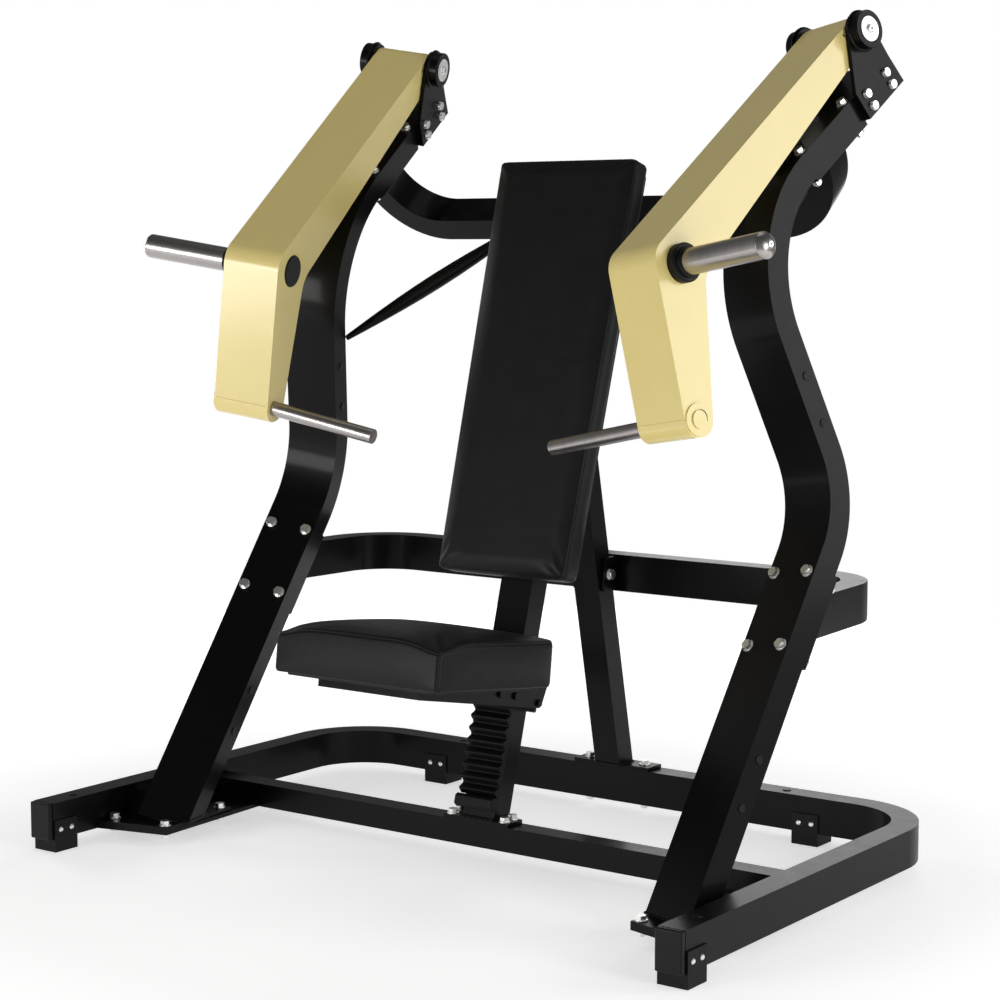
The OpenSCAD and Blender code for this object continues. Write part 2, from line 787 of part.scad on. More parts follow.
// The horn, with a spigot turned down to sit in the arm and the collar
module weight_horn(s) {
  color(steel) side(s) at_horn() difference() {
    union() {
      rod_x(horn_r, collar_end, horn_len);
      rod_x(spigot_r, -arm_w / 2 + skin, collar_end + 1);
    }
    rod_x(horn_r - 5, -arm_w, 2 * horn_len);
  }
}
module horn_end_cap(s) {
  dome = 14;
  ball = (horn_r * horn_r + dome * dome) / (2 * dome);
  color(steel) side(s) at_horn() translate([horn_len, 0, 0]) rotate([0, 90, 0]) rotate_extrude() union() {
    intersection() {
      translate([0, dome - ball]) circle(r = ball, $fn = 96);
      square([horn_r, dome + 1]);
    }
    translate([0, -20]) square([horn_r - 5 - fit_gap, 20.5]);
  }
}
module horn_collar(s) {
  color(frame_black) side(s) at_horn() translate([arm_w / 2, 0, 0]) rotate([0, 90, 0]) rotate_extrude()
    polygon([[spigot_r + fit_gap, 0], [37, 0], [37, 14], [34, 18], [29.5, 18], [29.5, 23], [27, 26],
             [spigot_r + fit_gap, 26]]);
}
module hub_cap(s) {
  color(frame_black) side(s) at_horn() translate([-arm_w / 2, 0, 0]) rotate([0, -90, 0])
    cylinder(r1 = 34, r2 = 32, h = 3);
}
module handle_bar(s) {
  color(steel) side(s) at_handle() difference() {
    translate([0, 0, -arm_w / 2]) cylinder(r = handle_r, h = handle_len + arm_w / 2);
    translate([0, 0, -arm_w]) cylinder(r = handle_r - 3, h = handle_len + arm_w - 10);
  }
}
module handle_plug(s) {
  color(arm_cream) side(s) translate([0, boss[0], boss[1]]) rod_x(17.5, arm_w / 2 + 3, arm_w / 2 + 6);
}

// ---- Seat ----

module seat_pad() {
  color(pad_black) seat() linear_extrude(seat_t) pad_outline(seat_w, seat_w, seat_len, 20);
}
module seat_board() {
  color([0.2, 0.17, 0.13]) seat() translate([0, 12, -10]) linear_extrude(10)
    pad_outline(seat_w - 30, seat_w - 30, seat_len - 24, 18);
}
// Folded tray: a top plate, a front rail and two deep cheeks that reach back to the post
bracket_t = 5;
wing_x = bracket_w / 2 - bracket_t;
module seat_bracket() {
  color(frame_black) seat() {
    difference() {
      translate([-bracket_w / 2, 0, 0]) rotate([90, 0, 90]) linear_extrude(bracket_w)
        polygon(rounded([[46, -10], [46, -28], [452, -58], [471, -12], [360, -10]], [0, 0, 12, 0, 0]));
      block([-wing_x, 46 + bracket_t, -big], [wing_x, big, -10 - bracket_t]);
      block([-wing_x, 362, -big], [wing_x, big, big]);
      seat_bolt_places() translate([0, 0, -20]) cylinder(r = 5.3, h = 30);
    }
  }
}
// Bolts through each cheek, in the seat frame
wing_t = 6;
module seat_bolt_places() {
  both() for (p = [[307, -24], [359, -30], [442, -47]])
    translate([bracket_w / 2, p[0], p[1]]) rotate([0, 90, 0]) children();
}
module seat_bolts() {
  color(zinc) seat() seat_bolt_places() {
    translate([0, 0, -bracket_t - wing_t - 3]) cylinder(r = 5, h = bracket_t + wing_t + 3);
    cylinder(r = 7.5, h = 5.5, $fn = 6);
  }
}
// Sleeve round the post, a cross plate, and two wings inside the bracket's cheeks
module seat_carriage() {
  in_x = rack_w / 2 + 1.5;
  in_front = -22;
  in_back = tube_t + 5;
  t = 6;
  color(frame_black) difference() {
    union() {
      spine() {
        block([-in_x - t, in_front - t, carriage_z], [in_x + t, in_back + t, carriage_z + carriage_h]);
        block([-wing_x, in_front - t - 8, carriage_z - 2],
              [wing_x, in_front - t, carriage_z + carriage_h - 20]);
        for (s = [-1, 1]) translate([s * 34 - 4, 0, 0])
          block([0, pawl_at[0] - 10, carriage_z + carriage_h - 30], [8, in_front - t, pawl_at[1] + 10]);
      }
      seat() both() translate([wing_x - wing_t, 0, 0]) rotate([90, 0, 90]) linear_extrude(wing_t)
        polygon([[290, -17], [290, -38], [448, -56], [458, -22]]);
    }
    spine() block([-in_x, in_front, -big], [in_x, in_back, big]);
    spine() translate([0, pawl_at[0], pawl_at[1]]) rod_x(5 + fit_gap, -60, 60);
    seat() seat_bolt_places() translate([0, 0, -bracket_t - wing_t - 10]) cylinder(r = 5.3, h = 30);
  }
}
module carriage_glides() {
  color([0.85, 0.85, 0.8]) spine() {
    both() block([post_w / 2 + 0.3, 6, carriage_z + 6],
                 [rack_w / 2 + 1.5, tube_t - 6, carriage_z + carriage_h - 6]);
    block([-34, tube_t + 0.3, carriage_z + 6], [34, tube_t + 5, carriage_z + carriage_h - 6]);
  }
}
module seat_pawl() {
  color(zinc) spine() translate([0, pawl_at[0], pawl_at[1]]) difference() {
    union() {
      rod_x(9, -29.5, 29.5);
      translate([-29.5, 0, 0]) rotate([90, 0, 90]) linear_extrude(59)
        polygon([[-6, 4], [4, -6], [28, 38], [28, 46], [20, 44]]);
    }
    rod_x(5 + fit_gap, -40, 40);
  }
}
module pawl_pin() { color(zinc) spine() translate([0, pawl_at[0], pawl_at[1]]) rod_x(5, -42, 42); }

base_frame();
front_crossbeam();
base_end_caps();
rubber_feet();
foot_rivets();
tube_plugs();
base_plates();
upright_left();
upright_right();
upright_foot_plates();
rear_tie();
tie_plates();
top_crossbar();
rear_strut();
strut_plates();
frame_bolts();
frame_washers();
frame_nuts();
spine_post();
spine_plates();
seat_rack();
backrest_board();
backrest_pad();
stay_rod();
pivot_brackets();
bracket_spacers();
bracket_bolts();
bearing_housings();
pivot_bearings();
stop_bumpers();
arm_shell(LEFT);  // arm_shell_left
arm_back_plate(LEFT);  // arm_back_plate_left
pivot_sleeve(LEFT);  // pivot_sleeve_left
pivot_shaft(LEFT);  // pivot_shaft_left
shaft_caps(LEFT);  // shaft_caps_left
weight_horn(LEFT);  // weight_horn_left
horn_end_cap(LEFT);  // horn_end_cap_left
horn_collar(LEFT);  // horn_collar_left
hub_cap(LEFT);  // hub_cap_left
handle_bar(LEFT);  // handle_bar_left
handle_plug(LEFT);  // handle_plug_left
arm_shell(RIGHT);  // arm_shell_right
arm_back_plate(RIGHT);  // arm_back_plate_right
pivot_sleeve(RIGHT);  // pivot_sleeve_right
pivot_shaft(RIGHT);  // pivot_shaft_right
shaft_caps(RIGHT);  // shaft_caps_right
weight_horn(RIGHT);  // weight_horn_right
horn_end_cap(RIGHT);  // horn_end_cap_right
horn_collar(RIGHT);  // horn_collar_right
hub_cap(RIGHT);  // hub_cap_right
handle_bar(RIGHT);  // handle_bar_right
handle_plug(RIGHT);  // handle_plug_right
seat_pad();
seat_board();
seat_bracket();
seat_bolts();
seat_carriage();
carriage_glides();
seat_pawl();
pawl_pin();
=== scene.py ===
"""Looks of the plate-loaded chest press machine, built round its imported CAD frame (metres)."""

import math

import bpy
import numpy as np
from mathutils import Matrix, Vector
from mathutils.bvhtree import BVHTree


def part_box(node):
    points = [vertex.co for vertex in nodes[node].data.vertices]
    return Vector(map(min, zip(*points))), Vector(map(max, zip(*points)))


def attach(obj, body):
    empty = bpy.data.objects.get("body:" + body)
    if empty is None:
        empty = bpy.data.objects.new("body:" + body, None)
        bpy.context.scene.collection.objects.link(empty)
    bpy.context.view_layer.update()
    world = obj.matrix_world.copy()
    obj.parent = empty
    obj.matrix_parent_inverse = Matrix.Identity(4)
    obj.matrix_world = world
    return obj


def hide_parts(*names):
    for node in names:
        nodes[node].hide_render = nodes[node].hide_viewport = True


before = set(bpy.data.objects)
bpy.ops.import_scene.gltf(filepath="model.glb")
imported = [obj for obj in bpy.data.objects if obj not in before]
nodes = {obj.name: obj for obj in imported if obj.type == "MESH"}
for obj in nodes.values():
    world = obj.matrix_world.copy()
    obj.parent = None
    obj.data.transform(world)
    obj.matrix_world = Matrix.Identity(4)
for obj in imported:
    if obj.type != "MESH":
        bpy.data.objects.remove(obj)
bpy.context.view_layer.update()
scene = bpy.context.scene

# ---- Frames of the machine, as the CAD lays them out ----

FRONT_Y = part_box("base_end_caps")[0].y
SIDE_YAW, SIDE_TILT, SIDE_X = math.radians(14), math.radians(9), 0.557
SPINE_LEAN, SEAT_SLOPE = math.radians(16), math.radians(7)
LEFT, RIGHT = 1, -1
SIDES = ((LEFT, "left"), (RIGHT, "right"))


def side_frame(s):
    """Side plane of one side: X outwards, Y back, Z up along the tilted plane."""
    mirror = Matrix.Diagonal((s, 1, 1, 1))
    turn = Matrix.Rotation(-SIDE_YAW, 4, "Z") @ Matrix.Rotation(-SIDE_TILT, 4, "Y")
    return Matrix.Translation((0, FRONT_Y, 0)) @ mirror @ turn @ Matrix.Translation((SIDE_X, 0, 0))


SPINE = Matrix.Translation((0, FRONT_Y + 0.491, 0.078)) @ Matrix.Rotation(-SPINE_LEAN, 4, "X")
SEAT = Matrix.Translation((0, FRONT_Y + 0.098, 0.434)) @ Matrix.Rotation(-SEAT_SLOPE, 4, "X")

# ---- Materials ----


class Shader:
    """A Principled material with a small set of node helpers."""

    def __init__(self, name, roughness, metallic=0.0, **sockets):
        self.material = bpy.data.materials.new(name)
        self.material.use_nodes = True
        self.tree = self.material.node_tree
        self.bsdf = self.tree.nodes["Principled BSDF"]
        self.set(Roughness=roughness, Metallic=metallic, **sockets)
        self.coord = self.node("ShaderNodeTexCoord").outputs["Object"]

    def set(self, **sockets):
        for key, value in sockets.items():
            self.bsdf.inputs[key.replace("_", " ")].default_value = value

    def node(self, kind, **inputs):
        made = self.tree.nodes.new(kind)
        for key, value in inputs.items():
            made.inputs[key].default_value = value
        return made

    def link(self, out, into):
        self.tree.links.new(out, into)

    def noise(self, scale, detail=3.0, coord=None):
        made = self.node("ShaderNodeTexNoise", Scale=scale, Detail=detail)
        self.link(coord or self.coord, made.inputs["Vector"])
        return made.outputs["Fac"]

    def ramp(self, fac, low, high, start=0.3, end=0.7):
        made = self.node("ShaderNodeValToRGB")
        first, last = made.color_ramp.elements
        first.position, last.position = start, end
        first.color, last.color = (*low, 1), (*high, 1)
        self.link(fac, made.inputs["Fac"])
        return made.outputs["Color"]

    def mapped(self, fac, low, high, start=0.0, end=1.0):
        made = self.node("ShaderNodeMapRange")
        made.inputs["From Min"].default_value, made.inputs["From Max"].default_value = start, end
        made.inputs["To Min"].default_value, made.inputs["To Max"].default_value = low, high
        self.link(fac, made.inputs["Value"])
        return made.outputs["Result"]

    def stretched(self, axis, factors):
        """Object coordinates turned so that X runs along an axis, then scaled."""
        turn = Vector(axis).rotation_difference(Vector((1, 0, 0))).to_euler()
        turned = self.node("ShaderNodeMapping")
        turned.inputs["Rotation"].default_value = turn
        scaled = self.node("ShaderNodeMapping")
        scaled.inputs["Scale"].default_value = factors
        self.link(self.coord, turned.inputs["Vector"])
        self.link(turned.outputs["Vector"], scaled.inputs["Vector"])
        return scaled.outputs["Vector"]

    def bump(self, height, strength, distance, under=None):
        made = self.node("ShaderNodeBump", Strength=strength, Distance=distance)
        self.link(height, made.inputs["Height"])
        if under:
            self.link(under, made.inputs["Normal"])
        return made.outputs["Normal"]

    def finish(self, colour=None, roughness=None, normal=None):
        for out, into in ((colour, "Base Color"), (roughness, "Roughness"), (normal, "Normal")):
            if out:
                self.link(out, self.bsdf.inputs[into])
        return self.material


def shade(colour, factor):
    return tuple(c * factor for c in colour)


def powder_coat(name, colour, roughness, texture, uneven, **sockets):
    """Powder coat: fine orange peel, faint blotches and uneven gloss."""
    s = Shader(name, roughness, **sockets)
    tone = s.ramp(s.noise(9, 4), shade(colour, 1 - uneven), shade(colour, 1 + uneven))
    gloss = s.mapped(s.noise(35, 3), roughness - 0.05, roughness + 0.06)
    normal = s.bump(s.noise(520, 2), texture, 0.0004)
    return s.finish(tone, gloss, normal)


def bare_metal(name, colour, roughness, axis=(0, 0, 1), grain=(420, 12, 12), strength=0.05):
    """Brushed or plated metal, its fine lines square to an axis."""
    s = Shader(name, roughness, 1.0)
    lines = s.noise(1, 3, s.stretched(axis, grain))
    tone = s.ramp(lines, shade(colour, 0.9), colour)
    gloss = s.mapped(lines, roughness - 0.04, roughness + 0.06)
    return s.finish(tone, gloss, s.bump(lines, strength, 0.0002))


def moulded(name, colour, roughness, **sockets):
    """Rubber or plastic with a fine matt skin."""
    s = Shader(name, roughness, **sockets)
    tone = s.ramp(s.noise(40, 4), shade(colour, 0.85), shade(colour, 1.2))
    gloss = s.mapped(s.noise(120, 2), roughness - 0.06, roughness + 0.08)
    return s.finish(tone, gloss, s.bump(s.noise(900, 2), 0.2, 0.0003))


def leatherette(name, colour):
    """Vinyl upholstery: pebbled grain with soft creases over foam."""
    s = Shader(name, 0.44, Specular_IOR_Level=0.17, Sheen_Weight=0.01, Sheen_Roughness=0.4)
    pebbles = s.node("ShaderNodeTexVoronoi", Scale=620)
    pebbles.feature = "SMOOTH_F1"
    s.link(s.coord, pebbles.inputs["Vector"])
    tone = s.ramp(s.noise(14, 5), shade(colour, 0.85), shade(colour, 1.15))
    gloss = s.mapped(s.noise(30, 4), 0.38, 0.52)
    grain = s.bump(pebbles.outputs["Distance"], 0.16, 0.0005)
    creases = s.noise(1, 4, s.stretched((1, 0, 0), (7, 26, 34)))
    return s.finish(tone, gloss, s.bump(creases, 0.16, 0.004, grain))


def stained_board(name):
    """Black-stained plywood: its grain still shows in the bump."""
    s = Shader(name, 0.6, Specular_IOR_Level=0.25)
    grain = s.noise(1, 5, s.stretched((0, 0, 1), (5, 90, 90)))
    tone = s.ramp(grain, (0.006, 0.005, 0.005), (0.014, 0.012, 0.011))
    return s.finish(tone, s.mapped(grain, 0.5, 0.7), s.bump(grain, 0.2, 0.0006))


FLOOR_R = 3.4


def studio_floor(name):
    """Pale floor that glows a little, and more towards its rim, where it meets the backdrop."""
    s = Shader(name, 0.75, Specular_IOR_Level=0.2, Emission_Color=(1, 1, 1, 1))
    reach = s.node("ShaderNodeVectorMath")
    reach.operation = "LENGTH"
    s.link(s.coord, reach.inputs[0])
    glow = s.mapped(reach.outputs["Value"], 0.55, 1.0, start=1.0, end=FLOOR_R * 0.9)
    s.link(glow, s.bsdf.inputs["Emission Strength"])
    tone = s.ramp(s.noise(2, 2), (0.79, 0.79, 0.79), (0.81, 0.81, 0.81))
    return s.finish(tone, s.mapped(s.noise(3, 2), 0.7, 0.8))


def side_axis(s):
    return (side_frame(s).to_3x3() @ Vector((s, 0, 0))).normalized()


BLACK = (0.0022, 0.0021, 0.0024)
CREAM = (0.76, 0.625, 0.235)
STEEL = (0.4, 0.375, 0.365)
DARK = (0.004, 0.004, 0.004)
frame_black = powder_coat(
    "frame_black", BLACK, 0.38, 0.3, 0.1, Specular_IOR_Level=0.08, Coat_Weight=0.11, Coat_Roughness=0.14
)
rack_black = powder_coat("rack_black", DARK, 0.42, 0.3, 0.15, Specular_IOR_Level=0.12)
arm_cream = powder_coat("arm_cream", CREAM, 0.3, 0.05, 0.02, Coat_Weight=0.5, Coat_Roughness=0.14)
zinc = bare_metal("zinc", (0.82, 0.82, 0.8), 0.3, (1, 0, 0), (60, 60, 60), 0.06)
steel_left = bare_metal("steel_left", STEEL, 0.29, side_axis(LEFT))
steel_right = bare_metal("steel_right", STEEL, 0.29, side_axis(RIGHT))
steel_plain = bare_metal("steel_plain", STEEL, 0.3, (0, 0, 1), (80, 80, 80))
silver = bare_metal("cap_silver", (0.9, 0.9, 0.9), 0.4, (1, 0, 0), (50, 50, 50), 0.04)
rubber = moulded("rubber", DARK, 0.6, Specular_IOR_Level=0.18)
plastic = moulded("black_plastic", (0.004, 0.004, 0.0043), 0.42, Specular_IOR_Level=0.18)
nylon = moulded("nylon", (0.72, 0.71, 0.67), 0.5, Subsurface_Weight=0.1)
board = stained_board("board")
pad_vinyl = leatherette("pad_vinyl", (0.0062, 0.0062, 0.0076))
piping_vinyl = leatherette("piping_vinyl", (0.011, 0.011, 0.013))
thread = moulded("thread", (0.02, 0.02, 0.022), 0.6)

# Widths of the rounded edges, in metres
BEVELS = {
    "tube": 0.004,
    "arm": 0.0035,
    "moulded": 0.003,
    "plate": 0.0012,
    "small": 0.0005,
    "none": 0,
}
# Each CAD node's material and kind of edge
FINISHES = {
    "base_frame": (frame_black, "tube"),
    "front_crossbeam": (frame_black, "tube"),
    "base_end_caps": (plastic, "moulded"),
    "rubber_feet": (rubber, "moulded"),
    "foot_rivets": (zinc, "small"),
    "tube_plugs": (plastic, "small"),
    "base_plates": (frame_black, "plate"),
    "upright_left": (frame_black, "tube"),
    "upright_right": (frame_black, "tube"),
    "upright_foot_plates": (frame_black, "plate"),
    "rear_tie": (frame_black, "tube"),
    "tie_plates": (frame_black, "plate"),
    "top_crossbar": (frame_black, "tube"),
    "rear_strut": (frame_black, "tube"),
    "strut_plates": (frame_black, "plate"),
    "frame_bolts": (zinc, "small"),
    "frame_washers": (zinc, "small"),
    "frame_nuts": (zinc, "small"),
    "spine_post": (frame_black, "tube"),
    "spine_plates": (frame_black, "plate"),
    "seat_rack": (rack_black, "plate"),
    "backrest_board": (board, "plate"),
    "stay_rod": (frame_black, "none"),
    "pivot_brackets": (frame_black, "plate"),
    "bracket_spacers": (frame_black, "plate"),
    "bracket_bolts": (zinc, "small"),
    "bearing_housings": (frame_black, "plate"),
    "pivot_bearings": (steel_plain, "small"),
    "stop_bumpers": (rubber, "plate"),
    "seat_board": (board, "plate"),
    "seat_bracket": (frame_black, "plate"),
    "seat_bolts": (frame_black, "small"),
    "seat_carriage": (frame_black, "plate"),
    "carriage_glides": (nylon, "small"),
    "seat_pawl": (zinc, "small"),
    "pawl_pin": (zinc, "small"),
}
for (_, label), brushed in zip(SIDES, (steel_left, steel_right)):
    suffix = "_" + label
    FINISHES.update({
        "arm_shell" + suffix: (arm_cream, "arm"),
        "arm_back_plate" + suffix: (arm_cream, "plate"),
        "pivot_sleeve" + suffix: (arm_cream, "small"),
        "pivot_shaft" + suffix: (steel_plain, "small"),
        "shaft_caps" + suffix: (silver, "small"),
        "weight_horn" + suffix: (brushed, "small"),
        "horn_end_cap" + suffix: (brushed, "small"),
        "horn_collar" + suffix: (plastic, "small"),
        "hub_cap" + suffix: (plastic, "small"),
        "handle_bar" + suffix: (brushed, "small"),
        "handle_plug" + suffix: (arm_cream, "small"),
    })


def add_material(obj, material):
    obj.data.materials.clear()
    obj.data.materials.append(material)


def smooth(obj):
    obj.data.polygons.foreach_set("use_smooth", [True] * len(obj.data.polygons))


FLAT_ANGLE, HARD_ANGLE = math.radians(0.4), math.radians(32)


def drop_custom_normals(mesh):
    if mesh.has_custom_normals:
        mesh.attributes.remove(mesh.attributes["custom_normal"])


def round_edges(obj, width):
    """Joins split vertices and flat facets, rounds the hard edges and shades the flats flat."""
    smooth(obj)
    weld = obj.modifiers.new("join", "WELD")
    weld.merge_threshold = 1e-6
    merge = obj.modifiers.new("flat", "DECIMATE")
    merge.decimate_type, merge.angle_limit = "DISSOLVE", FLAT_ANGLE
    if width:
        bevel = obj.modifiers.new("round", "BEVEL")
        bevel.width, bevel.segments = width, 3
        bevel.limit_method, bevel.angle_limit = "ANGLE", HARD_ANGLE
        bevel.use_clamp_overlap = True
        bevel.miter_outer = "MITER_ARC"
    shading = obj.modifiers.new("flats", "WEIGHTED_NORMAL")
    shading.weight, shading.keep_sharp = 60, False


for name, (material, edge) in FINISHES.items():
    add_material(nodes[name], material)
    drop_custom_normals(nodes[name].data)
    round_edges(nodes[name], BEVELS[edge])

# ---- Mesh helpers ----


def new_mesh(name, verts, faces, material, is_smooth=True):
    mesh = bpy.data.meshes.new(name)
    mesh.from_pydata([tuple(v) for v in verts], [], faces)
    mesh.update()
    obj = bpy.data.objects.new(name, mesh)
    scene.collection.objects.link(obj)
    add_material(obj, material)
    if is_smooth:
        smooth(obj)
    return obj


def ring_faces(rings, sides, closed=False, first=0):
    """Faces between successive rings of vertices, whose numbers begin at first."""
    faces = []
    for i in range(rings if closed else rings - 1):
        low, high = first + i * sides, first + (i + 1) % rings * sides
        for k in range(sides):
            m = (k + 1) % sides
            faces.append((low + k, low + m, high + m, high + k))
    return faces


def end_faces(rings, sides):
    return [tuple(reversed(range(sides))), tuple(range((rings - 1) * sides, rings * sides))]


def tube_mesh(name, points, radius, material, closed=False, sides=10, wobble=None):
    """Round bead along points; wobble(i) scales its radius."""
    count = len(points)
    verts = []
    last_normal = None
    for i, p in enumerate(points):
        before = points[i - 1] if closed or i else p
        after = points[(i + 1) % count] if closed or i < count - 1 else p
        along = (after - before).normalized()
        normal = last_normal or along.orthogonal()
        normal = (normal - along * normal.dot(along)).normalized()
        last_normal = normal
        across = along.cross(normal)
        r = radius * (wobble(i) if wobble else 1)
        for k in range(sides):
            a = math.tau * k / sides
            verts.append(p + r * (math.cos(a) * normal + math.sin(a) * across))
    ends = [] if closed else end_faces(count, sides)
    return new_mesh(name, verts, ring_faces(count, sides, closed) + ends, material)


def spaced(corners, step, closed=False):
    """Points at even steps along a route of straight runs."""
    stops = [Vector(p) for p in corners]
    if closed:
        stops.append(stops[0])
    made = []
    for a, b in zip(stops, stops[1:]):
        parts = max(1, round((b - a).length / step))
        made += [a.lerp(b, i / parts) for i in range(parts)]
    return made if closed else made + [stops[-1]]


def lathe(name, profile, place, material, segments=40, is_smooth=True):
    """Turned piece along the local Z of place, from (radius, height) pairs.

    A radius may be a function of the angle."""
    verts = []
    for radius, height in profile:
        for k in range(segments):
            a = math.tau * k / segments
            r = radius(a) if callable(radius) else radius
            verts.append(place @ Vector((r * math.cos(a), r * math.sin(a), height)))
    count = len(profile)
    faces = ring_faces(count, segments) + end_faces(count, segments)
    return new_mesh(name, verts, faces, material, is_smooth)


# ---- Cushions ----

# Grid of the covers, reach of the drawn-down corners, and the lip round the board
PAD_STEP = 0.006
CORNER_REACH = 0.055
LIP_WIDTH, LIP_FADE = 0.011, 0.003
CROWN_POWER = 2.5


def mould(p, half, crown, taper, dip, lip):
    """Bends a point of a plain box (bottom at z = 0) into the cushion's form.

    The top is crowned with its front corners drawn down, and a lip hangs round the board."""
    u, v = p.x / half[0], p.y / half[1]
    inset = min(half[0] - abs(p.x), half[1] - abs(p.y))
    hang = lip * min(1, max(0, (LIP_WIDTH - inset) / LIP_FADE)) * (1 - p.z / (2 * half[2]))
    lift = crown * max(0, 1 - abs(u) ** CROWN_POWER) * max(0, 1 - abs(v) ** CROWN_POWER)
    for side in (-1, 1):
        away = math.hypot((u - side) * half[0], (v + 1) * half[1])
        lift -= dip * math.exp(-(away / CORNER_REACH) ** 2)
    return Vector((p.x * (1 + taper * v), p.y, p.z * (1 + lift / (2 * half[2])) - hang))


def cushion_form(half, edge_r, *form):
    """Closed rounded box on a fine grid, moulded; half holds its half sizes."""
    counts = [max(4, round(2 * h / PAD_STEP)) for h in half]
    index, verts, faces = {}, [], []

    def point(*key):
        if key not in index:
            p = Vector([(2 * n / c - 1) * h for n, c, h in zip(key, counts, half)])
            inner = Vector([max(edge_r - h, min(h - edge_r, x)) for x, h in zip(p, half)])
            p = inner + (p - inner).normalized() * edge_r + Vector((0, 0, half[2]))
            index[key] = len(verts)
            verts.append(mould(p, half, *form))
        return index[key]

    for fixed in range(3):
        first, second = [axis for axis in range(3) if axis != fixed]
        for side in (0, counts[fixed]):
            for i in range(counts[first]):
                for j in range(counts[second]):
                    quad = []
                    for di, dj in ((0, 0), (1, 0), (1, 1), (0, 1)):
                        key = [0, 0, 0]
                        key[fixed], key[first], key[second] = side, i + di, j + dj
                        quad.append(point(*key))
                    faces.append(quad if bool(side) != (fixed == 1) else quad[::-1])
    return verts, faces


def vertex_array(mesh):
    co = np.zeros(len(mesh.vertices) * 3)
    mesh.vertices.foreach_get("co", co)
    return co.reshape(-1, 3)


def set_vertices(mesh, co):
    mesh.vertices.foreach_set("co", co.astype(np.float32).ravel())
    mesh.update()


def distance_to(co, path):
    """Each vertex's distance to the nearest point of a path."""
    nearest = np.full(len(co), np.inf)
    for p in path:
        nearest = np.minimum(nearest, np.linalg.norm(co - np.array(tuple(p)), axis=1))
    return nearest


SETTLE_FRAMES = 20


def inflate(obj, held, pressure, cap):
    """Cloth simulation: the panels swell under pressure between seams that stay put."""
    start = vertex_array(obj.data)
    group = obj.vertex_groups.new(name="held")
    group.add([int(i) for i in np.nonzero(held)[0]], 1.0, "REPLACE")
    cloth = obj.modifiers.new("cover", "CLOTH")
    settings = cloth.settings
    settings.quality = 5
    settings.mass = 0.3
    settings.tension_stiffness = settings.compression_stiffness = 15
    settings.shear_stiffness = 6
    settings.bending_stiffness = 0.8
    settings.use_pressure = True
    settings.uniform_pressure_force = pressure
    settings.vertex_group_mass = "held"
    settings.effector_weights.gravity = 0
    cloth.collision_settings.use_collision = False
    for step in range(1, SETTLE_FRAMES + 1):
        scene.frame_set(step)
    shaped = obj.evaluated_get(bpy.context.evaluated_depsgraph_get()).to_mesh()
    moved = vertex_array(shaped) - start
    obj.modifiers.remove(cloth)
    obj.vertex_groups.clear()
    reach = np.linalg.norm(moved, axis=1, keepdims=True)
    moved *= np.minimum(1, cap / np.maximum(reach, 1e-9))
    set_vertices(obj.data, start + moved)
    scene.frame_set(1)


def apply_subdivision(obj):
    modifier = obj.modifiers.new("finer", "SUBSURF")
    modifier.levels = modifier.render_levels = 1
    with bpy.context.temp_override(object=obj, active_object=obj, selected_objects=[obj]):
        bpy.ops.object.modifier_apply(modifier="finer")


def pull_in(obj, path, width, depth):
    """Sinks a narrow groove along a path, where the cover is sewn down."""
    co = vertex_array(obj.data)
    normals = np.zeros(len(co) * 3)
    obj.data.vertices.foreach_get("normal", normals)
    sink = depth * np.exp(-(distance_to(co, path) / width) ** 2)
    set_vertices(obj.data, co - normals.reshape(-1, 3) * sink[:, None])


def skin_tree(obj):
    """Search tree of an object's surface."""
    corners = [v.co for v in obj.data.vertices]
    return BVHTree.FromPolygons(corners, [tuple(p.vertices) for p in obj.data.polygons])


def on_surface(tree, points, lift):
    """Points moved to the nearest place on a skin and raised a little."""
    found = [tree.find_nearest(p) for p in points]
    return [spot + normal * lift for spot, normal, _, _ in found]


STITCH, STITCH_PITCH, THREAD_R, THREAD_SIDES = 0.0032, 0.0048, 0.0004, 6
# Rings of one stitch: place along its length, rise in thread radii, thickness
STITCH_RINGS = ((-0.5, -0.6, 0.5), (-0.3, 0.5, 1), (0.3, 0.5, 1), (0.5, -0.6, 0.5))


def stitch_row(name, tree, path):
    """Short thread stitches let into the skin along a path."""
    verts, faces = [], []
    for a, b in zip(path, path[1:]):
        along = b - a
        if along.length < STITCH:
            continue
        along.normalize()
        spot, normal, _, _ = tree.find_nearest((a + b) / 2)
        across = along.cross(normal).normalized()
        faces += ring_faces(len(STITCH_RINGS), THREAD_SIDES, first=len(verts))
        for reach, rise, thickness in STITCH_RINGS:
            centre = spot + along * reach * STITCH + normal * rise * THREAD_R
            for k in range(THREAD_SIDES):
                turn = math.tau * k / THREAD_SIDES
                spoke = math.cos(turn) * across + math.sin(turn) * normal
                verts.append(centre + THREAD_R * thickness * spoke)
    return new_mesh(name, verts, faces, thread)


CORNERS = ((-1, -1), (1, -1), (1, 1), (-1, 1))
# Corner seams begin at SEAM_FOOT; the stitches run ROW_DROP below the welt
SEAM_FOOT, SEAM_STEP = 0.006, 0.004
ROW_DROP = 0.006
GROOVE_W, GROOVE_DEPTH = 0.0035, 0.0016
CORNER_WELT_R, CORNER_WELT_RISE = 0.0012, 0.0002
# The underside, which lies on the board and is held still
BOTTOM_REACH, BOTTOM_EDGE = 0.003, 0.001


